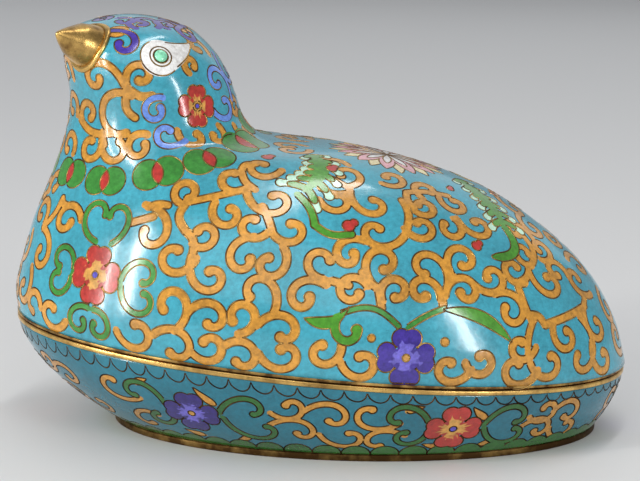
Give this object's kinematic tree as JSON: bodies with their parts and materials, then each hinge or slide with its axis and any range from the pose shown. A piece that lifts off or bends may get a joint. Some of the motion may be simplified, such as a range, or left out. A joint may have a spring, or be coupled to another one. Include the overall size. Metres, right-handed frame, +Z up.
{
  "type": "cloisonne enamel bird-shaped box",
  "caption": "Lidded box in the shape of a sitting quail: a hollow lid with the bird's back and turned head lifts off a shallow oval tray.",
  "frame": {"origin": "middle of the box's bounding box, on the surface that it stands on", "axes": "+X from breast to tail, +Z up, the bird's left side towards -Y"},
  "size_m": [0.1476, 0.0926, 0.0979],
  "materials": {
    "lid_enamel": "glossy cloisonne enamel on copper, turquoise ground with thin gilt wires",
    "base_enamel": "glossy cloisonne enamel on copper, turquoise ground with thin gilt wires",
    "lid_rim": "worn brownish gilding",
    "base_rim": "polished gilding",
    "foot_rim": "dull brownish gilding",
    "beak": "satin gilding",
    "eye_bead": "glossy mint-turquoise bead"
  },
  "bodies": {
    "root": {"lid": "lid_enamel", "lid_rim": "lid_rim", "beak": "beak", "beak_collar": "beak", "eye_left": "eye_bead", "eye_right": "eye_bead", "base": "base_enamel", "base_rim": "base_rim", "foot_rim": "foot_rim"}
  },
  "joints": []
}
